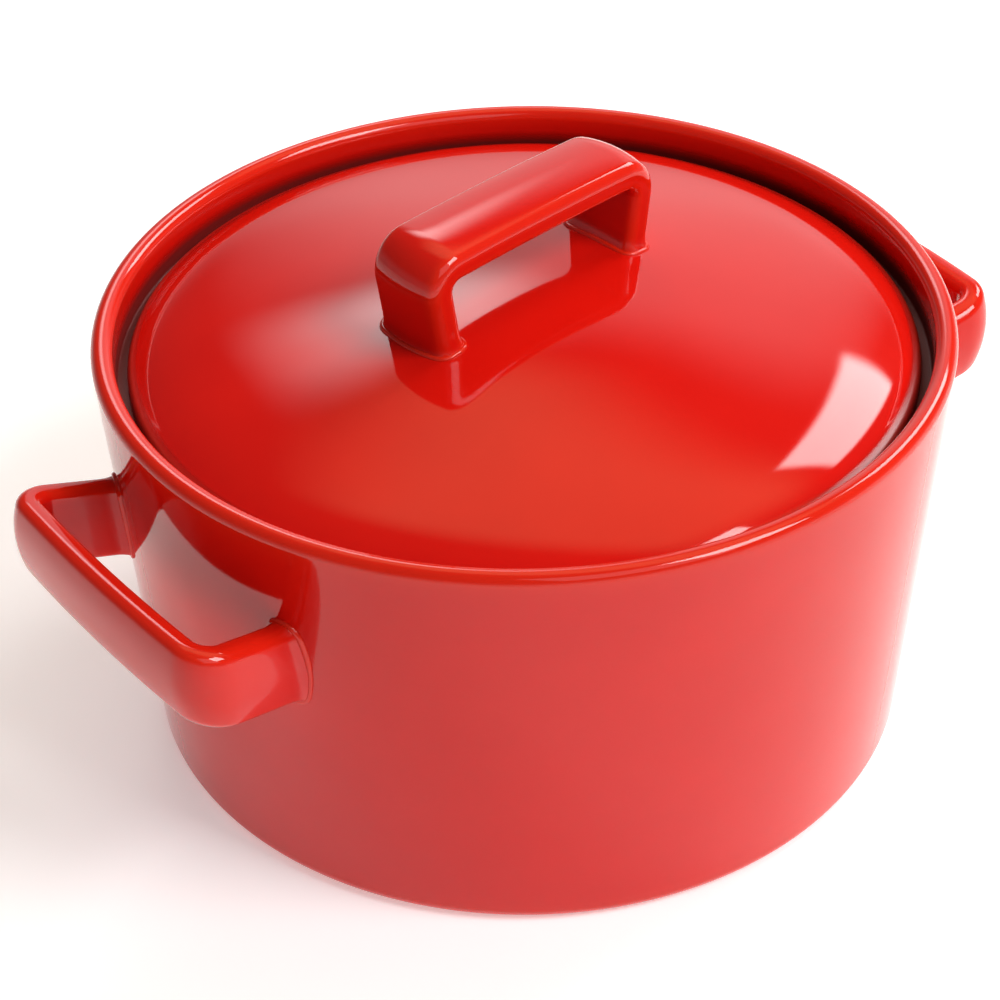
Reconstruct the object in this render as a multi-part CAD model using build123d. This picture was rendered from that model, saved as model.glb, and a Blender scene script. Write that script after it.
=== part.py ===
"""Covered stock pot in glazed stoneware.

Every casting is a solid of its own: the pot, the lid and the three strap handles,
which are moulded by themselves and stuck on with slip before the glaze firing. The
slip squeezed out round each handle foot stays there as a small bead, one per foot.

Frame: origin at the centre of the foot ring's face, +Z up, -X through the left side
handle and +X towards the right one, which sits a little lower. Millimetres and degrees.
"""

import os
from math import cos, radians, sin, sqrt, tan

from build123d import *

# Pot, outside
rim_radius = 145.0            # widest radius, at the root of the rounded lip
pot_height = 153.0            # table to the top of the lip
lip_thickness = 7.4           # the lip is a full round across this
base_radius = 134.6           # outside of the wall, carried on down to the table
base_corner_radius = 6.0

# Pot, inside and underneath
wall_thickness = 7.6
floor_thickness = 8.5
floor_corner_radius = 18.0
foot_ring_width = 9.0
foot_ring_height = 2.0
foot_ring_edge = 1.0          # chamfer of the recess under the floor

# Gallery: the ledge inside the rim that carries the lid
gallery_drop = 16.6           # top of the lip down to the ledge
gallery_ledge_width = 8.4
gallery_edge_radius = 1.6
gallery_root_height = 34.0    # the thick ring under the ledge runs out over this

# Lid
lid_gap = 3.9                 # lid edge to the throat of the rim
lid_edge_thickness = 6.4
lid_edge_radius = 2.9         # rounded shoulder all round
lid_dome_rise = 24.6          # crown above the lid's edge
lid_thickness = 6.2
locating_ring_gap = 1.4       # locating ring to the edge of the ledge
locating_ring_thickness = 5.0
locating_ring_depth = 8.0     # below the ledge
locating_ring_round = 1.8

# Strap section, shared in form by all three handles
strap_edge_radius = 3.2

# Lid handle: a strap bent into an arch, its legs leaning outwards
lid_turn = 6.0                # the lid sits turned this far from the side handles
arch_width = 30.0
arch_edge_thickness = 9.2
arch_crown = 2.2              # bulge of the outer face
arch_foot_gap = 76.0          # between the legs at the lid
arch_top_gap = 83.4           # between the legs under the bar
arch_clear_height = 21.6      # crown of the lid to the underside of the bar
arch_inner_radius = 3.0
arch_bow = 0.6
arch_offset = -2.7            # stuck on a little off the middle, along its length

# Side handles: the same strap, upright, as a loop that rises outwards
loop_level = 102.2            # middle of the left loop's feet above the table
loop_rise = 14.6              # slope of the loop
loop_width = 30.0             # height of the strap
loop_edge_thickness = 7.9
loop_crown = 2.9
loop_foot_gap = 89.4          # between the legs at the wall
loop_outer_gap = 98.0         # between the legs at the bar
loop_finger_gap = 22.8        # wall to the inside of the bar, at the middle
loop_inner_radius = 4.2
loop_bow = 1.9                # the bar arches outwards by this
right_loop_drop = 4.4         # handles are stuck on by hand: the right one is lower
right_loop_turn = -1.2        # and turned towards the front

# Slip beads
bead_reach = 2.0              # out along the pot or the lid
bead_rise = 1.8               # up the strap
root_depth = 12.0             # strap blanks start this far inside the wall and are trimmed back

# Derived places
lip_radius = lip_thickness / 2
rim_level = pot_height - lip_radius
throat_radius = rim_radius - lip_thickness
ledge_level = pot_height - gallery_drop
ledge_inner_radius = throat_radius - gallery_ledge_width
lid_radius = throat_radius - lid_gap
lid_edge_top = ledge_level + lid_edge_thickness
dome_foot_radius = lid_radius - lid_edge_radius
crown_level = lid_edge_top + lid_dome_rise
dome_radius = (dome_foot_radius**2 + lid_dome_rise**2) / (2 * lid_dome_rise)
wall_taper = (rim_radius - base_radius) / rim_level


def wall_radius(level):
    """Outside radius of the wall at a height above the table."""
    return base_radius + wall_taper * level


def dome_level(radius, sphere_radius=dome_radius, top=crown_level):
    """Height of the lid's spherical dome at a distance from the axis."""
    return top - sphere_radius + sqrt(sphere_radius**2 - radius**2)


def turned(edges):
    """A solid of revolution about Z from a closed outline in the XZ plane."""
    outline = make_face(edges)
    return revolve(outline, axis=Axis.Z, revolution_arc=360)


def at(radius, level):
    """A point of an outline in the XZ plane."""
    return (radius, 0, level)


def pot_envelope(growth=0.0):
    """The pot filled in solid, grown outwards if asked, to trim what stands on its wall."""
    low = at(base_radius + growth, 0)
    high = at(rim_radius + growth, rim_level)
    outline = Polyline(at(0, 0), low, high, at(0, rim_level), close=True)
    return turned(outline.edges())


def lid_envelope(growth=0.0):
    """Everything under the lid's dome, grown upwards if asked."""
    foot = dome_foot_radius
    ball = dome_radius + growth
    half = foot / 2
    dome = ThreePointArc(
        at(0, crown_level + growth),
        at(half, dome_level(half, ball, crown_level + growth)),
        at(foot, dome_level(foot, ball, crown_level + growth)),
    )
    rest = Polyline(dome @ 1, at(foot, ledge_level), at(0, ledge_level), dome @ 0)
    return turned(dome.edges() + rest.edges())


def make_pot():
    """The pot: one revolved casting with its gallery, foot ring and rounded lip."""
    corner_level = base_corner_radius
    floor_level = foot_ring_height + floor_thickness
    foot_outer = base_radius - base_corner_radius
    foot_inner = foot_outer - foot_ring_width
    root_level = ledge_level - gallery_root_height
    inner_root = wall_radius(root_level) - wall_thickness
    inner_floor = wall_radius(floor_level) - wall_thickness
    corner_mid = 1 - sqrt(0.5)
    lip_centre = rim_radius - lip_radius

    under = Polyline(
        at(0, foot_ring_height),
        at(foot_inner - foot_ring_edge, foot_ring_height),
        at(foot_inner, foot_ring_height - foot_ring_edge),
        at(foot_inner, 0),
        at(foot_outer, 0),
    )
    corner = ThreePointArc(
        under @ 1,
        at(foot_outer + base_corner_radius * sqrt(0.5), corner_level * corner_mid),
        at(wall_radius(corner_level), corner_level),
    )
    wall = Line(corner @ 1, at(rim_radius, rim_level))
    lip = ThreePointArc(wall @ 1, at(lip_centre, pot_height), at(throat_radius, rim_level))
    inside = Polyline(
        lip @ 1,
        at(throat_radius, ledge_level),
        at(ledge_inner_radius + gallery_edge_radius, ledge_level),
    )
    nose = ThreePointArc(
        inside @ 1,
        at(ledge_inner_radius + gallery_edge_radius * corner_mid,
           ledge_level - gallery_edge_radius * corner_mid),
        at(ledge_inner_radius, ledge_level - gallery_edge_radius),
    )
    face = Polyline(
        nose @ 1,
        at(ledge_inner_radius, ledge_level - locating_ring_depth),
        at(inner_root, root_level),
        at(inner_floor, floor_level + floor_corner_radius),
    )
    cove = ThreePointArc(
        face @ 1,
        at(inner_floor - floor_corner_radius * corner_mid,
           floor_level + floor_corner_radius * corner_mid),
        at(inner_floor - floor_corner_radius, floor_level),
    )
    floor = Polyline(cove @ 1, at(0, floor_level), under @ 0)
    pieces = [under, corner, wall, lip, inside, nose, face, cove, floor]
    return turned([edge for piece in pieces for edge in piece.edges()])


def make_lid():
    """The lid: a domed casting with a rounded edge and a locating ring underneath."""
    ring_outer = ledge_inner_radius - locating_ring_gap
    ring_inner = ring_outer - locating_ring_thickness
    ring_bottom = ledge_level - locating_ring_depth
    ring_round = locating_ring_round
    under_radius = dome_radius - lid_thickness
    under_top = crown_level - lid_thickness
    diagonal = sqrt(0.5)

    half = dome_foot_radius / 2
    dome = ThreePointArc(
        at(0, crown_level), at(half, dome_level(half)), at(dome_foot_radius, lid_edge_top)
    )
    shoulder = ThreePointArc(
        dome @ 1,
        at(dome_foot_radius + lid_edge_radius * diagonal,
           lid_edge_top - lid_edge_radius * (1 - diagonal)),
        at(lid_radius, lid_edge_top - lid_edge_radius),
    )
    skirt = Polyline(
        shoulder @ 1,
        at(lid_radius, ledge_level),
        at(ring_outer, ledge_level),
        at(ring_outer, ring_bottom + ring_round),
    )
    tip = ThreePointArc(
        skirt @ 1,
        at(ring_outer - ring_round * (1 - diagonal), ring_bottom + ring_round * (1 - diagonal)),
        at(ring_outer - ring_round, ring_bottom),
    )
    inner_level = dome_level(ring_inner, under_radius, under_top)
    back = Polyline(tip @ 1, at(ring_inner, ring_bottom), at(ring_inner, inner_level))
    under = ThreePointArc(
        back @ 1,
        at(ring_inner / 2, dome_level(ring_inner / 2, under_radius, under_top)),
        at(0, under_top),
    )
    axis = Line(under @ 1, dome @ 0)
    pieces = [dome, shoulder, skirt, tip, back, under, axis]
    return turned([edge for piece in pieces for edge in piece.edges()])


def strap(foot_gap, head_gap, reach, bow, inner_radius, width, edge_thickness, crown, edge_radius):
    """A strap loop in the XY plane, open towards -X, its inner corners at X = 0.

    The loop runs from one foot out along +X, across along Y and back. Its legs pass
    through foot_gap at X = -reach and are carried on root_depth beyond it.
    """
    lean = (head_gap - foot_gap) / 2 / reach
    root_x = -reach - root_depth
    root_y = foot_gap / 2 - lean * root_depth
    with BuildLine() as loop:
        first = Line((root_x, -root_y), (0, -head_gap / 2))
        head = ThreePointArc(first @ 1, (bow, 0), (0, head_gap / 2))
        Line(head @ 1, (root_x, root_y))
        fillet([vertex for vertex in loop.vertices() if vertex.X > root_x / 2], inner_radius)
    path = loop.wire()
    # Section: x is outwards from the inner face, y is along the strap's width.
    along = path % 0
    start = Plane(origin=path @ 0, x_dir=along.cross(Vector(0, 0, 1)), z_dir=along)
    half = width / 2
    with BuildSketch(start) as section:
        with BuildLine():
            inner = Line((0, -half), (0, half))
            upper = Line(inner @ 1, (edge_thickness, half))
            face = ThreePointArc(upper @ 1, (edge_thickness + crown, 0), (edge_thickness, -half))
            Line(face @ 1, inner @ 0)
        make_face()
        fillet(section.vertices(), radius=edge_radius)
    return sweep(section.sketch, path=path)


def loop_blank(growth=0.0):
    """A side handle, pointing along +X, before its feet are trimmed to the wall."""
    wall = wall_radius(loop_level)
    foot_x = sqrt(wall**2 - (loop_foot_gap / 2) ** 2)
    head_x = wall + loop_finger_gap - loop_bow
    flat = strap(
        loop_foot_gap - 2 * growth,
        loop_outer_gap - 2 * growth,
        head_x - foot_x,
        loop_bow,
        loop_inner_radius,
        loop_width + 2 * growth,
        loop_edge_thickness + 2 * growth,
        loop_crown,
        strap_edge_radius + growth,
    )
    # The rise is a skew, so the strap itself stays upright.
    slope = tan(radians(loop_rise))
    skew = Matrix([[1, 0, 0, 0], [0, 1, 0, 0], [slope, 0, 1, 0], [0, 0, 0, 1]])
    risen = (Pos(head_x - foot_x, 0, 0) * flat).solid().transform_geometry(skew)
    return Pos(foot_x, 0, loop_level) * risen


def arch_blank(growth=0.0):
    """The lid handle before its feet are trimmed to the dome."""
    foot_drop = crown_level - dome_level(arch_foot_gap / 2)
    flat = strap(
        arch_foot_gap - 2 * growth,
        arch_top_gap - 2 * growth,
        arch_clear_height + foot_drop,
        arch_bow,
        arch_inner_radius,
        arch_width + 2 * growth,
        arch_edge_thickness + 2 * growth,
        arch_crown,
        strap_edge_radius + growth,
    )
    turn = radians(lid_turn)
    upright = Plane(
        origin=(arch_offset * cos(turn), arch_offset * sin(turn), crown_level + arch_clear_height),
        x_dir=(0, 0, 1),
        z_dir=(-sin(turn), cos(turn), 0),
    )
    return upright.location * flat


def foot_beads(blank, grown_blank, envelope, grown_envelope):
    """The slip left round both feet of a handle, one solid per foot."""
    collars = (grown_blank & grown_envelope) - envelope - blank
    return collars.solids()


def write(name, shape):
    """One node, one STEP file; a node is always a single solid."""
    solids = shape.solids()
    if len(solids) != 1:
        raise ValueError(f"{name} has {len(solids)} solids")
    export_step(solids[0], f"parts/{name}.step")


os.makedirs("parts", exist_ok=True)
for old in os.listdir("parts"):
    os.remove(os.path.join("parts", old))

write("pot_body", make_pot())
write("lid_shell", make_lid())

side_cut = pot_envelope()
places = {
    "left": Rotation(0, 0, 180),
    "right": Pos(0, 0, -right_loop_drop) * Rotation(0, 0, right_loop_turn),
}
for side, place in places.items():
    handle = place * loop_blank() - side_cut
    write(f"side_handle_{side}", handle)
    grown_blank = place * loop_blank(bead_reach)
    for bead in foot_beads(handle, grown_blank, side_cut, pot_envelope(bead_rise)):
        end = "front" if bead.center().Y < 0 else "back"
        write(f"side_handle_{side}_{end}_bead", bead)

lid_cut = lid_envelope()
lid_handle = arch_blank() - lid_cut
write("lid_handle", lid_handle)
for bead in foot_beads(lid_handle, arch_blank(bead_reach), lid_cut, lid_envelope(bead_rise)):
    side = "left" if bead.center().X < 0 else "right"
    write(f"lid_handle_{side}_bead", bead)
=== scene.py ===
# %% [markdown]
# # A covered stock pot in red glazed stoneware
# The pot, its lid and its three strap handles are cast in stoneware, stuck together
# with slip, dipped in one red glaze and fired. This lesson builds each of them over a
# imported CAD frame, which fixes every size. Lengths are in millimetres until a mesh is
# made, because potters and CAD both work in them.

from math import atan2, ceil, cos, pi, radians, sin, sqrt, tan

import bmesh
import bpy
import numpy as np
from mathutils import Matrix, Vector


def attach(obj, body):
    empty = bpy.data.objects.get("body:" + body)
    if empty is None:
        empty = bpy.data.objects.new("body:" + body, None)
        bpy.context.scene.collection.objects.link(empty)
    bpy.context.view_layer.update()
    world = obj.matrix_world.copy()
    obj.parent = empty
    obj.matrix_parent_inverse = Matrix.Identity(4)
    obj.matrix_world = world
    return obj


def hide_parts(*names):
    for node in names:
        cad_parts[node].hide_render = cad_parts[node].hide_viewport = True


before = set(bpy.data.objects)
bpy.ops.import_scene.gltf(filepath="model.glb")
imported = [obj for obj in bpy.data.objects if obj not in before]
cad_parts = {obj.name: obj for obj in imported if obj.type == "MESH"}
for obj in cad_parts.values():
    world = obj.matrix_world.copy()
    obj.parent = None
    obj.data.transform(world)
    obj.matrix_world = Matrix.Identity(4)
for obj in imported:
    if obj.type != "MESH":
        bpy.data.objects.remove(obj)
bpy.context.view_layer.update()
MM = 0.001

# %% [markdown]
# ## Sizes
# The same driving sizes as the CAD, so that each smooth form lies on its CAD solid.
# The pot is a cone frustum with a rounded lip. The dome of the lid is part of a
# sphere, but from 60 mm outwards its top is up to 2 mm fuller, which bends the
# reflections near its edge. Two functions say where these two surfaces are:
# everything that is stuck on to them asks one of the two.

# %% Sizes of the pot and the lid
RIM_RADIUS = 145.0
POT_HEIGHT = 153.0
LIP_THICKNESS = 7.4
BASE_RADIUS = 134.6
WALL = 7.6
FLOOR_LEVEL = 10.5         # top of the pot's floor
FOOT_DEPTH = 2.0           # hollow under the pot, inside the foot ring
FOOT_RING_INSIDE = 119.6   # radius
LEDGE_LEVEL = 136.4
LEDGE_RADIUS = 129.2
LEDGE_DEPTH = 8.0          # the ledge's own thickness, before it slopes to the wall
LEDGE_SLOPE_END = 102.4    # level where that slope ends
SEAT_RADIUS = 137.6        # inside of the rim, round the lid
LID_RADIUS = 133.7
LID_EDGE_TOP = 142.8
LID_EDGE_ROUND = 2.9
LID_EDGE_DROP = 1.1        # from the dome's foot to the corner that is rounded
DOME_RISE = 24.6
LID_WALL = 6.2
LOCATING_RING = (122.8, 127.8)   # its two radii
RING_LEVEL = 128.4         # lower edge of the locating ring
SHOULDER_START = 60.0      # radius from which the dome is fuller than a sphere
SHOULDER_FULLNESS = 4.4    # times the curve below, whose highest value is 0.47

lip_round = LIP_THICKNESS / 2
rim_level = POT_HEIGHT - lip_round
taper = (RIM_RADIUS - BASE_RADIUS) / rim_level
dome_foot = LID_RADIUS - LID_EDGE_ROUND
crown_level = LID_EDGE_TOP + DOME_RISE
dome_radius = (dome_foot**2 + DOME_RISE**2) / (2 * DOME_RISE)


def wall_radius(level):
    """Outside radius of the pot's wall at a level above the table."""
    return BASE_RADIUS + taper * level


def dome_level(radius, sink=0.0):
    """Level of the dome at a distance from the axis, or of its plain underside if sunk."""
    ball = dome_radius - sink
    share = np.clip((radius - SHOULDER_START) / (dome_foot - SHOULDER_START), 0, 1)
    fuller = 0 if sink else SHOULDER_FULLNESS * (share**2 - share**8)
    return crown_level - dome_radius + np.sqrt(ball**2 - radius**2) + fuller


# %% [markdown]
# ## Helpers for node trees
# Geometry and shader trees are both lists of nodes with settings, fixed values and
# links. One function adds any node, so each tree below reads from top to bottom like
# a recipe.

# %% Add one node
def add(tree, kind, values=None, links=None, **settings):
    """Adds a node: settings are its properties, values its own sockets, links its sources."""
    node = tree.nodes.new(kind)
    for key, value in settings.items():
        setattr(node, key, value)
    for key, value in (values or {}).items():
        node.inputs[key].default_value = value
    for key, source in (links or {}).items():
        tree.links.new(source, node.inputs[key])
    return node


def geometry_tree(name, inputs):
    """A geometry tree with named inputs. Returns it with its group input's sockets."""
    tree = bpy.data.node_groups.new(name, "GeometryNodeTree")
    tree.interface.new_socket("Geometry", in_out="INPUT", socket_type="NodeSocketGeometry")
    for label, kind in inputs:
        tree.interface.new_socket(label, in_out="INPUT", socket_type=f"NodeSocket{kind}")
    tree.interface.new_socket("Geometry", in_out="OUTPUT", socket_type="NodeSocketGeometry")
    return tree, add(tree, "NodeGroupInput").outputs


def finish_tree(tree, geometry, material):
    """Ends a tree: smooth shading, real geometry instead of instances, one material."""
    shaded = add(tree, "GeometryNodeSetShadeSmooth", {"Shade Smooth": True}, {"Geometry": geometry})
    real = add(tree, "GeometryNodeRealizeInstances", links={"Geometry": shaded.outputs[0]})
    painted = add(
        tree, "GeometryNodeSetMaterial", links={"Geometry": real.outputs[0], "Material": material}
    )
    add(tree, "NodeGroupOutput", links={"Geometry": painted.outputs[0]})


def grow(name, tree, source, sizes):
    """Runs a tree on a source mesh and keeps the result as a plain mesh object."""
    piece = bpy.data.objects.new(name, source)
    bpy.context.scene.collection.objects.link(piece)
    modifier = piece.modifiers.new(tree.name, "NODES")
    modifier.node_group = tree
    for item in tree.interface.items_tree:
        if item.in_out == "INPUT" and item.name in sizes:
            modifier[item.identifier] = sizes[item.name]
    evaluated = piece.evaluated_get(bpy.context.evaluated_depsgraph_get())
    mesh = bpy.data.meshes.new_from_object(evaluated)
    piece.modifiers.remove(modifier)
    piece.data = mesh
    bpy.data.meshes.remove(source)
    return piece


SAME_PLACE = 0.001 * MM    # vertices closer than this are one


def face_outwards(piece):
    """Closes seams and turns every face outwards, then says how big the mesh is."""
    work = bmesh.new()
    work.from_mesh(piece.data)
    bmesh.ops.remove_doubles(work, verts=work.verts, dist=SAME_PLACE)
    bmesh.ops.dissolve_degenerate(work, edges=work.edges, dist=SAME_PLACE)
    bmesh.ops.recalc_face_normals(work, faces=work.faces)
    open_edges = sum(not edge.is_manifold for edge in work.edges)
    volume = work.calc_volume(signed=True)
    work.to_mesh(piece.data)
    work.free()
    print(f"{piece.name}: {len(piece.data.polygons)} faces, {open_edges} open edges,"
          f" {volume * 1e6:.1f} cm3")


# %% [markdown]
# ## The glaze
# The pot is dipped in an opaque red glaze and fired until it melts to glass. What the
# eye gets is a deep, slightly uneven red under a mirror-like skin. The glass is thin
# where it ran off an edge, which looks lighter and more orange, and thick where it
# pooled in a corner, which looks darker. The thickness is worked out from the shape
# later, as an attribute on each mesh, and here it chooses between three reds. A
# picture of a glaze could do it too, but it would not know where the edges are. A
# fourth red, nearly black, is painted shade round the lid's seat, for the shadow in
# the gap beside the lid.

# %% Colours and the red glaze
def linear(code):
    """An sRGB hex colour as the linear values that shaders use."""
    parts = [int(code[place:place + 2], 16) / 255 for place in (0, 2, 4)]
    return [p / 12.92 if p < 0.04045 else ((p + 0.055) / 1.055) ** 2.4 for p in parts] + [1.0]


def new_material(name):
    """An empty material with its output and shader."""
    material = bpy.data.materials.new(name)
    material.use_nodes = True
    tree = material.node_tree
    tree.nodes.clear()
    shader = add(tree, "ShaderNodeBsdfPrincipled")
    add(tree, "ShaderNodeOutputMaterial", links={"Surface": shader.outputs[0]})
    return material, tree, shader


# Tin-opacified red glaze, dipped and fired to glass: deep red and mirror-like.
glaze, tree, shader = new_material("dipped_red_glaze")
where = add(tree, "ShaderNodeTexCoord").outputs["Object"]

# Clouding of the colour, about 35 mm across, from uneven dipping. In a Mix node the
# sockets 6 and 7 are its two colours, and its output 2 is the mixed one.
CLOUD_SIZE = 35 * MM
cloud = add(tree, "ShaderNodeTexNoise", {"Scale": 1 / CLOUD_SIZE, "Detail": 3.0}, {"Vector": where})
mottled = add(
    tree, "ShaderNodeMix", {6: linear("CC1009"), 7: linear("D8160C")},
    {"Factor": cloud.outputs[0]}, data_type="RGBA",
)

# Thinner over edges, where the red breaks to orange, and pooled darker in corners.
coat = add(tree, "ShaderNodeAttribute", attribute_name="glaze_thickness").outputs["Fac"]
thin = add(tree, "ShaderNodeMapRange", {"From Min": 0.0, "From Max": -0.9, "To Max": 0.35}, {0: coat})
broken = add(
    tree, "ShaderNodeMix", {7: linear("E8381A")},
    {"Factor": thin.outputs[0], 6: mottled.outputs[2]}, data_type="RGBA",
)
thick = add(tree, "ShaderNodeMapRange", {"From Max": 0.9, "To Max": 0.6}, {0: coat})
pooled = add(
    tree, "ShaderNodeMix", {7: linear("9C0704")},
    {"Factor": thick.outputs[0], 6: broken.outputs[2]}, data_type="RGBA",
)

# Round the lid's seat, on the pot and on the lid's edge, the colour is painted darker,
# nearly black, and the glaze is made matt: painted shade for the shadow in the gap
# beside the lid. Its share is the product of four fades: over the ledge's inner edge,
# inside the wall, under the ledge, and up the inside of the rim.
away = add(tree, "ShaderNodeVectorMath", {1: (1, 1, 0)}, {0: where}, operation="MULTIPLY")
radius = add(
    tree, "ShaderNodeVectorMath", links={0: away.outputs[0]}, operation="LENGTH"
).outputs["Value"]
level = add(tree, "ShaderNodeSeparateXYZ", links={0: where}).outputs["Z"]
fades = [
    add(
        tree, "ShaderNodeMapRange", {"From Min": none * MM, "From Max": full * MM}, {0: source}
    ).outputs[0]
    for source, none, full in (
        (radius, LEDGE_RADIUS + 0.5, LEDGE_RADIUS + 1.5),
        (radius, SEAT_RADIUS + 1.9, SEAT_RADIUS + 0.9),
        (level, LEDGE_LEVEL - 1.5, LEDGE_LEVEL - 0.5),
        (level, POT_HEIGHT - 8.0, LEDGE_LEVEL + 4.0),
    )
]
painted_gap_shade = fades[0]
for fade in fades[1:]:
    painted_gap_shade = add(
        tree, "ShaderNodeMath", links={0: painted_gap_shade, 1: fade}, operation="MULTIPLY"
    ).outputs[0]
# How much of the near-black painted gap shade is mixed into the red, at most 0.8.
gap_shade_share = add(tree, "ShaderNodeMapRange", {"To Max": 0.8}, {0: painted_gap_shade})
gap_shaded_colour = add(
    tree, "ShaderNodeMix", {7: linear("4A0604")},
    {"Factor": gap_shade_share.outputs[0], 6: pooled.outputs[2]}, data_type="RGBA",
)

# The glass itself: a slow roll 24 mm long and a fine orange peel 2.5 mm across.
ROLL_LENGTH, ROLL_DEPTH = 24 * MM, 0.035 * MM
PEEL_SIZE, PEEL_DEPTH = 2.5 * MM, 0.0012 * MM
roll = add(tree, "ShaderNodeTexNoise", {"Scale": 1 / ROLL_LENGTH, "Detail": 1.0}, {"Vector": where})
peel = add(tree, "ShaderNodeTexNoise", {"Scale": 1 / PEEL_SIZE, "Detail": 1.0}, {"Vector": where})
rolling = add(
    tree, "ShaderNodeBump", {"Strength": 1.0, "Distance": ROLL_DEPTH}, {"Height": roll.outputs[0]}
)
skin = add(
    tree, "ShaderNodeBump", {"Strength": 1.0, "Distance": PEEL_DEPTH},
    {"Height": peel.outputs[0], "Normal": rolling.outputs[0]},
)
gloss = add(
    tree, "ShaderNodeMapRange", {"To Min": 0.035, "To Max": 0.075}, {0: cloud.outputs[0]}
)
# The mask of the painted gap shade also makes the glaze matt there.
matt = add(tree, "ShaderNodeMapRange", {"To Max": 0.5}, {0: painted_gap_shade})
dulled = add(
    tree, "ShaderNodeMath", links={0: gloss.outputs[0], 1: matt.outputs[0]}, operation="ADD"
)
for socket, source in (
    ("Base Color", gap_shaded_colour.outputs[2]),
    ("Roughness", dulled.outputs[0]),
    ("Normal", skin.outputs[0]),
):
    tree.links.new(source, shader.inputs[socket])
shader.inputs["IOR"].default_value = 1.46       # a lead-free glaze is near 1.5
print("glaze:", len(tree.nodes), "nodes")

# %% [markdown]
# ## How thick the glaze lies
# Molten glaze runs off a convex edge and gathers in a hollow one. Over each edge of a
# mesh the two normals spread apart if the form is convex and lean together if it is
# hollow, which gives a curvature per vertex. A few rounds of averaging spread it over
# a millimetre or two, as surface tension does.

# %% Glaze thickness as an attribute
FULL_BREAK = 170.0     # curvature in 1/m at which the glaze counts as fully thin or pooled
RUNS = 6               # rounds of averaging


def pour_glaze(piece):
    """Stores glaze_thickness on a mesh: -1 on a sharp edge, 0 on a plain wall, 1 in a corner."""
    mesh = piece.data
    count = len(mesh.vertices)
    points = np.empty(count * 3)
    normals = np.empty(count * 3)
    ends = np.empty(len(mesh.edges) * 2, int)
    mesh.vertices.foreach_get("co", points)
    mesh.vertices.foreach_get("normal", normals)
    mesh.edges.foreach_get("vertices", ends)
    points, normals, ends = points.reshape(-1, 3), normals.reshape(-1, 3), ends.reshape(-1, 2)
    one, two = ends.T
    along = points[two] - points[one]
    length = np.maximum((along**2).sum(1), 1e-12)
    bend = ((normals[two] - normals[one]) * along).sum(1) / length
    edges_met = np.bincount(ends.ravel(), minlength=count)

    def averaged(at_one, at_two):
        """The mean, at each vertex, of what its edges bring to their two ends."""
        total = np.bincount(one, at_one, count) + np.bincount(two, at_two, count)
        return total / np.maximum(edges_met, 1)

    value = np.clip(-averaged(bend, bend) / FULL_BREAK, -1, 1)
    for _ in range(RUNS):
        value = (value + averaged(value[two], value[one])) / 2
    stored = mesh.attributes.new("glaze_thickness", "FLOAT", "POINT")
    stored.data.foreach_set("value", value)
    print(f"{piece.name}: glaze from {value.min():.2f} to {value.max():.2f}")


# %% [markdown]
# ## Outlines
# A cast pot is a solid of revolution, so it is one outline turned about its axis.
# Spin in edit mode would do that, and so would a Screw modifier. A node tree keeps the
# number of segments as a named input, and welds the seam and the poles by itself.
# First the outline: corners with a rounding each, and points close together
# everywhere, because a mirror-like glaze shows every long facet.

# %% An outline with rounded corners
POINT_SPACING = 3.0        # along straight runs
ARC_STEP = 0.4             # round corners
LEAST_STEPS = 4            # in the smallest rounding


def rounded(corners):
    """Even points along an outline of (radius, level, rounding) corners, as an array."""
    line = []
    for place, (radius, level, rounding) in enumerate(corners):
        here = Vector((radius, level))
        if rounding == 0:
            arc = [here]
        else:
            back = (Vector(corners[place - 1][:2]) - here).normalized()
            ahead = (Vector(corners[place + 1][:2]) - here).normalized()
            half = back.angle(ahead) / 2
            centre = here + (back + ahead).normalized() * rounding / sin(half)
            start = here + back * rounding / tan(half) - centre
            end = here + ahead * rounding / tan(half) - centre
            steps = max(LEAST_STEPS, ceil(rounding * (pi - 2 * half) / ARC_STEP))
            shares = [step / steps for step in range(steps + 1)]
            arc = [centre + start.lerp(end, share).normalized() * rounding for share in shares]
        if line:
            gap = (arc[0] - line[-1]).length
            pieces = ceil(gap / POINT_SPACING)
            line += [line[-1].lerp(arc[0], piece / pieces) for piece in range(1, pieces)]
        line += arc
    return np.array([[point.x, 0, point.y] for point in line])


def chain(name, points, closed=False, corners=None):
    """A line of edges through points in mm, the source mesh of a tree. Where corners are
    given, each point says with 1 that it is one, and with 0 that it is not."""
    mesh = bpy.data.meshes.new(name)
    edges = [(place, place + 1) for place in range(len(points) - 1)]
    if closed:
        edges.append((len(points) - 1, 0))
    mesh.from_pydata([Vector(point) * MM for point in points], edges, [])
    if corners is not None:
        mesh.attributes.new("corner", "FLOAT", "POINT").data.foreach_set("value", corners)
    return mesh


# Each corner is its radius, its level and its rounding. The pot starts under its
# middle, and the lid at the crown of its dome.
slope_foot = wall_radius(LEDGE_SLOPE_END) - WALL
floor_radius = wall_radius(FLOOR_LEVEL) - WALL
pot_outline = rounded([
    (0, FOOT_DEPTH, 0), (FOOT_RING_INSIDE - 0.5, FOOT_DEPTH, 0.8), (FOOT_RING_INSIDE, 0, 0.6),
    (BASE_RADIUS, 0, 6.0), (wall_radius(POT_HEIGHT), POT_HEIGHT, 3.6),
    (SEAT_RADIUS, POT_HEIGHT, 3.7), (SEAT_RADIUS, LEDGE_LEVEL, 0.8),
    (LEDGE_RADIUS, LEDGE_LEVEL, 1.6), (LEDGE_RADIUS, LEDGE_LEVEL - LEDGE_DEPTH, 2.0),
    (slope_foot, LEDGE_SLOPE_END, 6.0), (floor_radius, FLOOR_LEVEL, 18.0), (0, FLOOR_LEVEL, 0),
])
ring_inside, ring_outside = LOCATING_RING
dome = [(radius, dome_level(radius), 0) for radius in np.linspace(0, dome_foot, 44)]
hollow = [(radius, dome_level(radius, LID_WALL), 0) for radius in np.linspace(119, 0, 40)]
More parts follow.
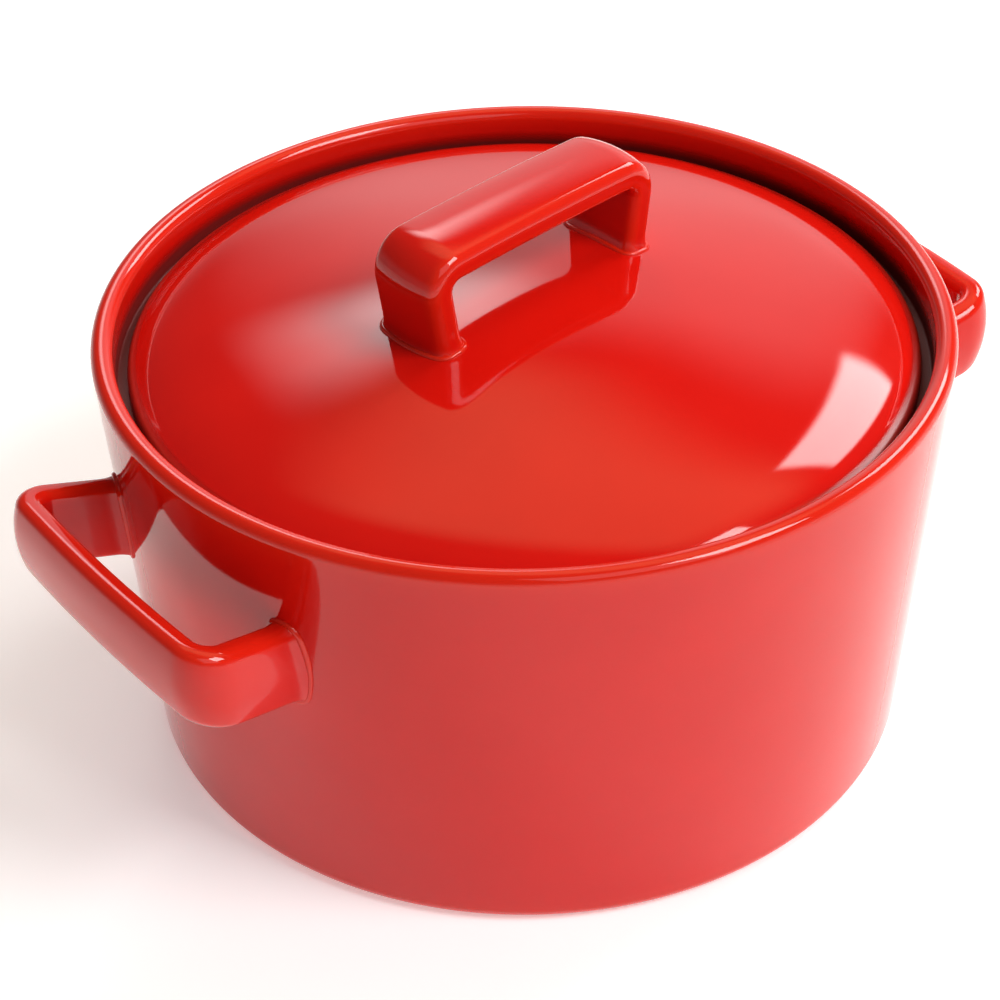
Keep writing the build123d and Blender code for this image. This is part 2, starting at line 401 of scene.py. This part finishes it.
lid_outline = rounded(dome + [
    (LID_RADIUS, LID_EDGE_TOP - LID_EDGE_DROP, LID_EDGE_ROUND), (LID_RADIUS, LEDGE_LEVEL, 0.5),
    (ring_outside, LEDGE_LEVEL, 0.5), (ring_outside, RING_LEVEL, 1.8),
    (ring_inside, RING_LEVEL, 1.8), (ring_inside, dome_level(ring_inside, LID_WALL), 2.0),
] + hollow)
print("outline points: pot", len(pot_outline), "lid", len(lid_outline))

# %% [markdown]
# ## Turning the outline
# The tree makes a flat grid with one row per outline point, and one column more than
# there are segments. Each grid point then looks up its row's place on the outline and
# is turned by its column's angle. Merge by Distance welds the last column to the
# first, and each pole to a single point.

# %% The lathe tree
lathe, given = geometry_tree("lathe", [("Segments", "Int"), ("Glaze", "Material")])
rows = add(lathe, "GeometryNodeAttributeDomainSize", links={0: given["Geometry"]})
columns = add(lathe, "ShaderNodeMath", {1: 1.0}, {0: given["Segments"]}, operation="ADD")
sheet = add(
    lathe, "GeometryNodeMeshGrid",
    links={"Vertices X": rows.outputs["Point Count"], "Vertices Y": columns.outputs[0]},
)
index = add(lathe, "GeometryNodeInputIndex")
middle = add(lathe, "ShaderNodeMath", {1: 0.5}, {0: index.outputs[0]}, operation="ADD")
ratio = add(
    lathe, "ShaderNodeMath", links={0: middle.outputs[0], 1: columns.outputs[0]}, operation="DIVIDE"
)
row = add(lathe, "ShaderNodeMath", links={0: ratio.outputs[0]}, operation="FLOOR")
column = add(
    lathe, "ShaderNodeMath", links={0: index.outputs[0], 1: columns.outputs[0]}, operation="MODULO"
)
turn = add(
    lathe, "ShaderNodeMath", links={0: column.outputs[0], 1: given["Segments"]}, operation="DIVIDE"
)
angle = add(lathe, "ShaderNodeMath", {1: 2 * pi}, {0: turn.outputs[0]}, operation="MULTIPLY")
place = add(lathe, "GeometryNodeInputPosition")
outline_point = add(
    lathe, "GeometryNodeSampleIndex",
    links={"Geometry": given["Geometry"], "Value": place.outputs[0], "Index": row.outputs[0]},
    data_type="FLOAT_VECTOR",
)
parts = add(lathe, "ShaderNodeSeparateXYZ", links={0: outline_point.outputs[0]})
across = add(lathe, "ShaderNodeMath", links={0: angle.outputs[0]}, operation="COSINE")
along = add(lathe, "ShaderNodeMath", links={0: angle.outputs[0]}, operation="SINE")
x = add(
    lathe, "ShaderNodeMath", links={0: parts.outputs[0], 1: across.outputs[0]}, operation="MULTIPLY"
)
y = add(
    lathe, "ShaderNodeMath", links={0: parts.outputs[0], 1: along.outputs[0]}, operation="MULTIPLY"
)
turned = add(
    lathe, "ShaderNodeCombineXYZ", links={0: x.outputs[0], 1: y.outputs[0], 2: parts.outputs[2]}
)
form = add(
    lathe, "GeometryNodeSetPosition",
    links={"Geometry": sheet.outputs[0], "Position": turned.outputs[0]},
)
WELD = 0.005 * MM
welded = add(lathe, "GeometryNodeMergeByDistance", {"Distance": WELD}, {"Geometry": form.outputs[0]})
finish_tree(lathe, welded.outputs[0], given["Glaze"])
print("lathe tree:", len(lathe.nodes), "nodes")

# %% [markdown]
# ## The pot and the lid
# Both come off the same lathe, and here both are glazed all over. On a real pot the
# foot ring and the flat ring on which the lid sits are bare clay, because glaze there
# would stick in the kiln. They are hidden while the pot stands closed.

# %% Turn the pot and the lid
SEGMENTS = 192
turned_on_lathe = {"Segments": SEGMENTS, "Glaze": glaze}
pot = grow("glazed_pot", lathe, chain("pot_outline", pot_outline), turned_on_lathe)
face_outwards(pot)
pour_glaze(pot)

lid = grow("glazed_lid", lathe, chain("lid_outline", lid_outline), turned_on_lathe)
face_outwards(lid)
pour_glaze(lid)

# %% [markdown]
# ## The strap
# All three handles are one kind of strap: flat inside, gently crowned outside, with
# soft edges. A real one is pressed in a mould. Here it is a section swept along a
# path, which is what Curve to Mesh does, and the two tight bends come from Fillet
# Curve. A box with bevelled edges would not keep its thickness round the bends.

# %% The strap tree
strap, given = geometry_tree("strap", [
    ("Corner radius", "Float"), ("Strap width", "Float"), ("Edge thickness", "Float"),
    ("Crown", "Float"), ("Edge radius", "Float"), ("Points round", "Int"), ("Glaze", "Material"),
])
path = add(strap, "GeometryNodeMeshToCurve", links={0: given["Geometry"]})
corner = add(strap, "GeometryNodeInputNamedAttribute", {"Name": "corner"})
bend = add(
    strap, "ShaderNodeMath", links={0: corner.outputs[0], 1: given["Corner radius"]},
    operation="MULTIPLY",
)
bent = add(
    strap, "GeometryNodeFilletCurve", {"Count": 18},
    {"Curve": path.outputs[0], "Radius": bend.outputs[0]}, mode="POLY",
)
upright = add(strap, "GeometryNodeSetCurveNormal", links={0: bent.outputs[0]}, mode="Z_UP")

# The section: a rectangle with rounded corners, whose points are then pushed outwards
# by the crown, in full on the outer side, not at all on the inner side, and less and
# less towards the strap's two edges.
blank = add(
    strap, "GeometryNodeCurvePrimitiveQuadrilateral",
    links={"Width": given["Edge thickness"], "Height": given["Strap width"]},
)
soft = add(
    strap, "GeometryNodeFilletCurve", {"Count": 10},
    {"Curve": blank.outputs[0], "Radius": given["Edge radius"]}, mode="POLY",
)
even = add(
    strap, "GeometryNodeResampleCurve", links={"Curve": soft.outputs[0], "Count": given["Points round"]}
)
place = add(strap, "GeometryNodeInputPosition")
parts = add(strap, "ShaderNodeSeparateXYZ", links={0: place.outputs[0]})
half = add(strap, "ShaderNodeMath", {1: 0.5}, {0: given["Edge thickness"]}, operation="MULTIPLY")
from_inside = add(
    strap, "ShaderNodeMath", links={0: parts.outputs[0], 1: half.outputs[0]}, operation="ADD"
)
outer_share = add(
    strap, "ShaderNodeMath", links={0: from_inside.outputs[0], 1: given["Edge thickness"]},
    operation="DIVIDE",
)
half_width = add(strap, "ShaderNodeMath", {1: 0.5}, {0: given["Strap width"]}, operation="MULTIPLY")
sideways = add(
    strap, "ShaderNodeMath", links={0: parts.outputs[1], 1: half_width.outputs[0]}, operation="DIVIDE"
)
squared = add(strap, "ShaderNodeMath", {1: 2.0}, {0: sideways.outputs[0]}, operation="POWER")
falling = add(strap, "ShaderNodeMath", {0: 1.0}, {1: squared.outputs[0]}, operation="SUBTRACT")
arched = add(
    strap, "ShaderNodeMath", links={0: falling.outputs[0], 1: outer_share.outputs[0]},
    operation="MULTIPLY",
)
bulge = add(
    strap, "ShaderNodeMath", links={0: arched.outputs[0], 1: given["Crown"]}, operation="MULTIPLY"
)
outwards = add(strap, "ShaderNodeMath", links={0: bulge.outputs[0], 1: half.outputs[0]}, operation="ADD")
shift = add(strap, "ShaderNodeCombineXYZ", links={0: outwards.outputs[0]})
section = add(
    strap, "GeometryNodeSetPosition", links={"Geometry": even.outputs[0], "Offset": shift.outputs[0]}
)
swept = add(
    strap, "GeometryNodeCurveToMesh", {"Fill Caps": True},
    {"Curve": upright.outputs[0], "Profile Curve": section.outputs[0]},
)
finish_tree(strap, swept.outputs[0], given["Glaze"])
print("strap tree:", len(strap.nodes), "nodes")

# %% [markdown]
# ## The foot of a handle
# Where a handle is stuck on, the slip and the glaze make a soft spread: the strap
# widens over its last few millimetres and ends in a low rounded bead. A boolean with
# a fillet would need far more points. Instead, each vertex is pushed out along its
# normal, more the closer it is to the surface, and the line where the handle enters
# the surface is kept as the path of the bead.

# %% Spread a foot and find its line
POINTS_ROUND = 96      # points round the strap's section
FOOT_SPREAD = 1.0      # how far the foot widens
FOOT_FALL = 6.0        # over this height
FOOT_CURVE = 2.5       # the higher, the closer to the surface the widening stays


def above_wall(points):
    """How far points stand out from the pot's wall, in mm."""
    return np.hypot(points[..., 0], points[..., 1]) - wall_radius(points[..., 2])


def above_dome(points):
    """How far points stand above the lid's dome, in mm."""
    return points[..., 2] - dome_level(np.hypot(points[..., 0], points[..., 1]))


def spread_feet(piece, height):
    """Widens both feet of a handle and returns the closed line of each, in mm."""
    mesh = piece.data
    points = np.empty(len(mesh.vertices) * 3)
    normals = np.empty(len(mesh.vertices) * 3)
    mesh.vertices.foreach_get("co", points)
    mesh.vertices.foreach_get("normal", normals)
    points = points.reshape(-1, 3) / MM
    nearness = np.clip(1 - height(points) / FOOT_FALL, 0, 1) ** FOOT_CURVE
    points = points + normals.reshape(-1, 3) * (FOOT_SPREAD * nearness)[:, None]
    mesh.vertices.foreach_set("co", (points * MM).ravel())
    mesh.update()

    # Along each of the strap's lengthwise lines, from either end, the surface is
    # crossed between the last point inside it and the first one outside.
    rings = points.reshape(-1, POINTS_ROUND, 3)
    each = np.arange(POINTS_ROUND)
    lines = []
    for run in (rings, rings[::-1]):
        gap = height(run)
        outside = np.argmax(gap > 0, axis=0)
        before, after = gap[outside - 1, each], gap[outside, each]
        share = (before / (before - after))[:, None]
        inside_point = run[outside - 1, each]
        lines.append(inside_point + share * (run[outside, each] - inside_point))
    return lines


# %% [markdown]
# ## The side handles
# The loop's path runs out from the wall, turns, crosses with a slight bow and comes
# back. It starts a few millimetres inside the wall, so that nothing shows between the
# two. The whole loop rises outwards while the strap stays upright, which is a skew:
# every point is lifted in proportion to how far out it is.

# %% Paths of the handles
FOOT_POINTS_END = 14.0     # along the start of each leg, where its foot spreads,
FOOT_POINT_STEP = 0.75     # the path's points are this close together


def loop_path(foot_gap, head_gap, foot_x, head_x, root_x, bow):
    """Inner line of a strap handle in the XY plane, and which of its points are corners.

    The two legs start at root_x. They are foot_gap apart at foot_x and head_gap apart
    at head_x, where they meet the head, which bows out by bow."""
    lean = (head_gap - foot_gap) / 2 / (head_x - foot_x)
    close = np.arange(root_x, root_x + FOOT_POINTS_END, FOOT_POINT_STEP)
    leg_x = np.append(close, [(close[-1] + head_x) / 2 - 1, head_x])
    leg_y = foot_gap / 2 + lean * (leg_x - foot_x)
    across = np.linspace(-1, 1, 11)[1:-1]
    head = np.column_stack([head_x + bow * (1 - across**2), across * head_gap / 2])
    first = np.column_stack([leg_x, -leg_y])
    last = np.column_stack([leg_x[::-1], leg_y[::-1]])
    flat = np.vstack([first, head, last])
    corners = np.zeros(len(flat))
    corners[[len(first) - 1, len(first) + len(head)]] = 1
    return np.column_stack([flat, np.zeros(len(flat))]), corners


# %% Side handles, each in the place where it was stuck on
STRAP_WIDTH = 30 * MM
STRAP_EDGE_RADIUS = 3.2 * MM
LOOP_LEVEL = 102.2         # middle of the strap where it leaves the wall
LOOP_RISE = radians(14.6)  # how steeply the loop rises outwards
LOOP_FOOT_GAP = 89.4       # between the legs at the wall
LOOP_HEAD_GAP = 98.0       # and at the head
LOOP_REACH = 20.9          # finger room from the wall to the ends of the head
LOOP_ROOT = 127.3          # where the path starts, inside the wall
LOOP_BOW = 1.9
RIGHT_DROP = 4.4           # the right loop is stuck on lower than the left one
RIGHT_TURN = radians(-1.2)


def side_handle(name, place):
    """A loop handle moved to its place, and the closed lines of its two feet."""
    wall = wall_radius(LOOP_LEVEL)
    foot_x = sqrt(wall**2 - (LOOP_FOOT_GAP / 2) ** 2)
    points, corners = loop_path(
        LOOP_FOOT_GAP, LOOP_HEAD_GAP, foot_x, wall + LOOP_REACH, LOOP_ROOT, LOOP_BOW
    )
    handle = grow(name, strap, chain(name, points, corners=corners), {
        "Corner radius": 4.2 * MM, "Strap width": STRAP_WIDTH, "Edge thickness": 7.9 * MM,
        "Crown": 2.9 * MM, "Edge radius": STRAP_EDGE_RADIUS, "Points round": POINTS_ROUND,
        "Glaze": glaze,
    })
    slope = tan(LOOP_RISE)
    risen = Matrix((
        (1, 0, 0, 0),
        (0, 1, 0, 0),
        (slope, 0, 1, (LOOP_LEVEL - slope * foot_x) * MM),
        (0, 0, 0, 1),
    ))
    handle.data.transform(place @ risen)
    lines = spread_feet(handle, above_wall)
    face_outwards(handle)
    pour_glaze(handle)
    return handle, lines


lower = Matrix.Translation((0, 0, -RIGHT_DROP * MM))
right_handle, right_lines = side_handle("right_handle", lower @ Matrix.Rotation(RIGHT_TURN, 4, "Z"))
left_handle, left_lines = side_handle("left_handle", Matrix.Rotation(pi, 4, "Z"))

# %% [markdown]
# ## The lid's handle
# The same strap stands on end as an arch. Its path is drawn flat like the loops',
# with X outwards, and one matrix then stands it up on the dome: X becomes up, Y runs
# along the handle, and Z across it. The real one sits turned a few degrees from the
# side handles, and a little off the middle, because the lid is loose and the handle
# was stuck on by hand.

# %% Stand the arch on the lid
LID_TURN = radians(6.0)
ARCH_OFFSET = -2.7         # along the handle
ARCH_CLEAR = 21.6          # finger room over the crown
ARCH_FOOT_GAP = 76.0
ARCH_HEAD_GAP = 83.4
ARCH_BOW = 0.6
ARCH_ROOT = 4.5            # how far the path starts inside the dome

foot_drop = crown_level - dome_level(ARCH_FOOT_GAP / 2)
arch_foot = -ARCH_CLEAR - foot_drop
points, corners = loop_path(
    ARCH_FOOT_GAP, ARCH_HEAD_GAP, arch_foot, 0, arch_foot - ARCH_ROOT, ARCH_BOW
)
lid_handle = grow("lid_arch", strap, chain("arch", points, corners=corners), {
    "Corner radius": 3 * MM, "Strap width": STRAP_WIDTH, "Edge thickness": 9.2 * MM,
    "Crown": 2.2 * MM, "Edge radius": STRAP_EDGE_RADIUS, "Points round": POINTS_ROUND,
    "Glaze": glaze,
})
c, s = cos(LID_TURN), sin(LID_TURN)
lid_handle.data.transform(Matrix((
    (0, c, -s, ARCH_OFFSET * c * MM),
    (0, s, c, ARCH_OFFSET * s * MM),
    (1, 0, 0, (crown_level + ARCH_CLEAR) * MM),
    (0, 0, 0, 1),
)))
arch_lines = spread_feet(lid_handle, above_dome)
face_outwards(lid_handle)
pour_glaze(lid_handle)

# %% [markdown]
# ## The slip beads
# A bead follows the closed line of each foot. It is a small round section swept along
# that line, and a slow noise makes it a little fatter here and thinner there, as slip
# squeezed out by hand is. The seed keeps each bead its own and the same every time.

# %% The bead tree
bead_tree, given = geometry_tree("slip_bead", [
    ("Bead radius", "Float"), ("Unevenness", "Float"), ("Seed", "Float"), ("Glaze", "Material"),
])
path = add(bead_tree, "GeometryNodeMeshToCurve", links={0: given["Geometry"]})
round_section = add(
    bead_tree, "GeometryNodeCurvePrimitiveCircle", {"Resolution": 14}, {"Radius": given["Bead radius"]}
)
place = add(bead_tree, "GeometryNodeInputPosition")
BEAD_WAVE = 16 * MM        # from one fat place to the next
noise = add(
    bead_tree, "ShaderNodeTexNoise", {"Scale": 1 / BEAD_WAVE, "Detail": 0.0},
    {"Vector": place.outputs[0], "W": given["Seed"]}, noise_dimensions="4D",
)
centred = add(bead_tree, "ShaderNodeMath", {1: 0.5}, {0: noise.outputs[0]}, operation="SUBTRACT")
swing = add(
    bead_tree, "ShaderNodeMath", links={0: centred.outputs[0], 1: given["Unevenness"]},
    operation="MULTIPLY",
)
fatness = add(bead_tree, "ShaderNodeMath", {1: 1.0}, {0: swing.outputs[0]}, operation="ADD")
tube = add(bead_tree, "GeometryNodeCurveToMesh", links={
    "Curve": path.outputs[0], "Profile Curve": round_section.outputs[0], "Scale": fatness.outputs[0],
})
finish_tree(bead_tree, tube.outputs[0], given["Glaze"])
print("bead tree:", len(bead_tree.nodes), "nodes")

# %% Lay the beads
BEAD_RADIUS = 1.0 * MM
BEAD_UNEVENNESS = 0.9      # share of the radius that comes and goes


def lay_bead(name, line, seed):
    """One bead along a closed line in mm."""
    bead = grow(name, bead_tree, chain(name, line, closed=True), {
        "Bead radius": BEAD_RADIUS, "Unevenness": BEAD_UNEVENNESS, "Seed": seed, "Glaze": glaze,
    })
    face_outwards(bead)
    pour_glaze(bead)
    return bead


bead_lines = {
    "side_handle_right_front_bead": right_lines[0],
    "side_handle_right_back_bead": right_lines[1],
    "side_handle_left_back_bead": left_lines[0],
    "side_handle_left_front_bead": left_lines[1],
    "lid_handle_left_bead": arch_lines[0],
    "lid_handle_right_bead": arch_lines[1],
}
beads = {}
for seed, (node, line) in enumerate(bead_lines.items()):
    beads[node] = lay_bead(f"slip_{node}", line, float(seed))

# %% [markdown]
# ## Putting the pieces on their bodies
# Each piece stands for one CAD solid and moves with its body: the pot stays where it
# is, and the lid, its handle and its two beads lift off together.

# %% Ride and replace
pieces = [
    (pot, "pot_body", "pot"),
    (right_handle, "side_handle_right", "pot"),
    (left_handle, "side_handle_left", "pot"),
    (lid, "lid_shell", "lid"),
    (lid_handle, "lid_handle", "lid"),
]
pieces += [(bead, node, "lid" if node.startswith("lid") else "pot") for node, bead in beads.items()]
for piece, node, body in pieces:
    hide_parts(node)
    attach(piece, body)

# %% [markdown]
# ## Camera
# The camera looks down on the pot from about a metre away, 37 degrees below the level,
# with the left handle coming forward. The lens is long, so the pot shows little
# perspective. The Standard view transform keeps the red as strong as it is mixed.

# %% Camera
camera = bpy.data.objects.new("camera", bpy.data.cameras.new("camera"))
camera.location = (-0.4641, -0.5898, 0.6364)
camera.rotation_euler = (radians(53.11), radians(0.94), radians(-38.21))
camera.data.sensor_width = 36.0
camera.data.lens = 95.4
bpy.context.scene.collection.objects.link(camera)
bpy.context.scene.camera = camera
bpy.context.scene.view_settings.view_transform = "Standard"

# %% [markdown]
# ## Floor and light
# A white table of lit opal acrylic, and soft light as in a product studio. Glaze shows
# its surroundings, so each softbox is placed by the direction in which it is to be
# seen in the glaze: degrees to the right of the camera's line of sight, and degrees
# above the table. The key light leans like a window behind the pot on the right. A
# dim backdrop stands behind the pot with a brighter patch left of its middle, and a
# warm ceiling hangs over the front of the lid. The side light and the front fill stand
# behind the camera, where the lid doesn't show them: they only make the red bright.

# %% Floor
# Opal acrylic sheet, lit from below: white, matt, brightest under the pot.
GLOW_NEAR, GLOW_FAR = 0.3, 0.9        # the glow fades between these distances, in m,
GLOW_FULL, GLOW_LEAST = 0.36, 0.12    # from the one strength to the other
FLECK_SIZE = 60 * MM
TABLE_SIZE = 16.0
TABLE_LEVEL = -0.05 * MM              # a hair under the foot ring, so that both show

board, tree, shader = new_material("lit_opal_acrylic")
where = add(tree, "ShaderNodeTexCoord").outputs["Object"]
fleck = add(tree, "ShaderNodeTexNoise", {"Scale": 1 / FLECK_SIZE, "Detail": 2.0}, {"Vector": where})
white = add(
    tree, "ShaderNodeMix", {6: linear("F4F4F4"), 7: linear("F8F8F8")},
    {"Factor": fleck.outputs[0]}, data_type="RGBA",
)
tree.links.new(white.outputs[2], shader.inputs["Base Color"])
shader.inputs["Roughness"].default_value = 0.75
shader.inputs["Emission Color"].default_value = (1.0, 1.0, 1.0, 1.0)
away = add(tree, "ShaderNodeVectorMath", links={0: where}, operation="LENGTH")
glow = add(
    tree, "ShaderNodeMapRange",
    {"From Min": GLOW_FAR, "From Max": GLOW_NEAR, "To Min": GLOW_LEAST, "To Max": GLOW_FULL},
    {0: away.outputs["Value"]}, interpolation_type="SMOOTHSTEP",
)
tree.links.new(glow.outputs[0], shader.inputs["Emission Strength"])
bpy.ops.mesh.primitive_plane_add(size=TABLE_SIZE, location=(0, 0, TABLE_LEVEL))
floor = bpy.context.object
floor.name = "table"
floor.data.materials.append(board)

# %% One softbox
POT_MIDDLE = Vector((0, 0, 0.1))
LIGHT_DISTANCE = 4.0
WHITE = (1.0, 1.0, 1.0)
POWER_PER_RADIANCE = 4.0    # watts per square metre that give a radiance of 1
sight = atan2(-camera.location.x, -camera.location.y)


def softbox(name, azimuth, elevation, wide, high, radiance, lean=0.0, fade=0.0, colour=WHITE):
    """A rectangular light facing the pot. Its place, size and lean are in degrees.

    Azimuth is to the right of the line of sight, elevation above the table. The light
    fades out towards its edges, over the share of its size that fade gives."""
    turn = sight + radians(azimuth)
    rise = radians(elevation)
    outwards = Vector((sin(turn) * cos(rise), cos(turn) * cos(rise), sin(rise)))
    lamp = bpy.data.lights.new(name, "AREA")
    lamp.shape = "RECTANGLE"
    lamp.size = 2 * LIGHT_DISTANCE * tan(radians(wide) / 2)
    lamp.size_y = 2 * LIGHT_DISTANCE * tan(radians(high) / 2)
    lamp.energy = radiance * lamp.size * lamp.size_y * POWER_PER_RADIANCE
    lamp.color = colour
    if fade:
        # Parametric runs from 0 to 1 over the light, both ways. In a Map Range of
        # vectors the sockets 6 to 10 are Vector, From Min, From Max, To Min, To Max.
        lamp.use_nodes = True
        tree = lamp.node_tree
        across = add(tree, "ShaderNodeNewGeometry").outputs["Parametric"]
        middle = add(
            tree, "ShaderNodeVectorMath", {1: (0.5, 0.5, 0)}, {0: across}, operation="SUBTRACT"
        )
        reach = add(tree, "ShaderNodeVectorMath", links={0: middle.outputs[0]}, operation="ABSOLUTE")
        glow = add(
            tree, "ShaderNodeMapRange",
            {7: (0.5,) * 3, 8: (0.5 - fade,) * 3, 9: (0, 0, 0), 10: (1, 1, 1)},
            {6: reach.outputs[0]}, data_type="FLOAT_VECTOR", interpolation_type="SMOOTHSTEP",
        )
        sides = add(tree, "ShaderNodeSeparateXYZ", links={0: glow.outputs[1]})
        both = add(
            tree, "ShaderNodeMath", links={0: sides.outputs[0], 1: sides.outputs[1]},
            operation="MULTIPLY",
        )
        tree.links.new(both.outputs[0], tree.nodes["Emission"].inputs["Strength"])
    light = bpy.data.objects.new(name, lamp)
    light.location = POT_MIDDLE + outwards * LIGHT_DISTANCE
    facing = outwards.to_track_quat("Z", "Y").to_matrix()
    light.rotation_euler = (facing @ Matrix.Rotation(radians(lean), 3, "Z")).to_euler()
    light.visible_camera = False
    bpy.context.scene.collection.objects.link(light)
    print(name, [round(value, 2) for value in light.location])


# %% Hang the softboxes
WARM = (1.0, 0.8, 0.42)
softbox("key_window", 46.5, 38.5, 19, 27, 8.0, lean=37, fade=0.1)
softbox("side_light", 116, 48, 24, 22, 9.8)
softbox("front_fill", 150, 42, 40, 34, 0.9)
softbox("left_glow", -11, 39, 28, 22, 3.6, fade=0.42)
softbox("backdrop", 6, 24, 56, 50, 0.72, fade=0.3)
softbox("ceiling", 30, 72, 76, 46, 0.85, fade=0.3, colour=WARM)

# %% [markdown]
# ## The room
# The room is dim, and lighter near the level than overhead, as a studio with pale
# walls and a dark ceiling is. That is what the wall of the pot and the lid show
# between the lights.

# %% Room
HORIZON_GLOW = 0.4
OVERHEAD_GLOW = 0.09
DUSK_END = 0.3             # sine of the height at which the room is as dark as overhead

world = bpy.data.worlds.new("studio")
world.use_nodes = True
tree = world.node_tree
heading = add(tree, "ShaderNodeTexCoord").outputs["Generated"]
height = add(tree, "ShaderNodeSeparateXYZ", links={0: heading}).outputs["Z"]
dusk = add(
    tree, "ShaderNodeMapRange",
    {"From Max": DUSK_END, "To Min": HORIZON_GLOW, "To Max": OVERHEAD_GLOW}, {0: height},
    interpolation_type="SMOOTHSTEP",
)
tree.links.new(dusk.outputs[0], tree.nodes["Background"].inputs["Strength"])
tree.nodes["Background"].inputs["Color"].default_value = (1.0, 1.0, 1.0, 1.0)
bpy.context.scene.world = world
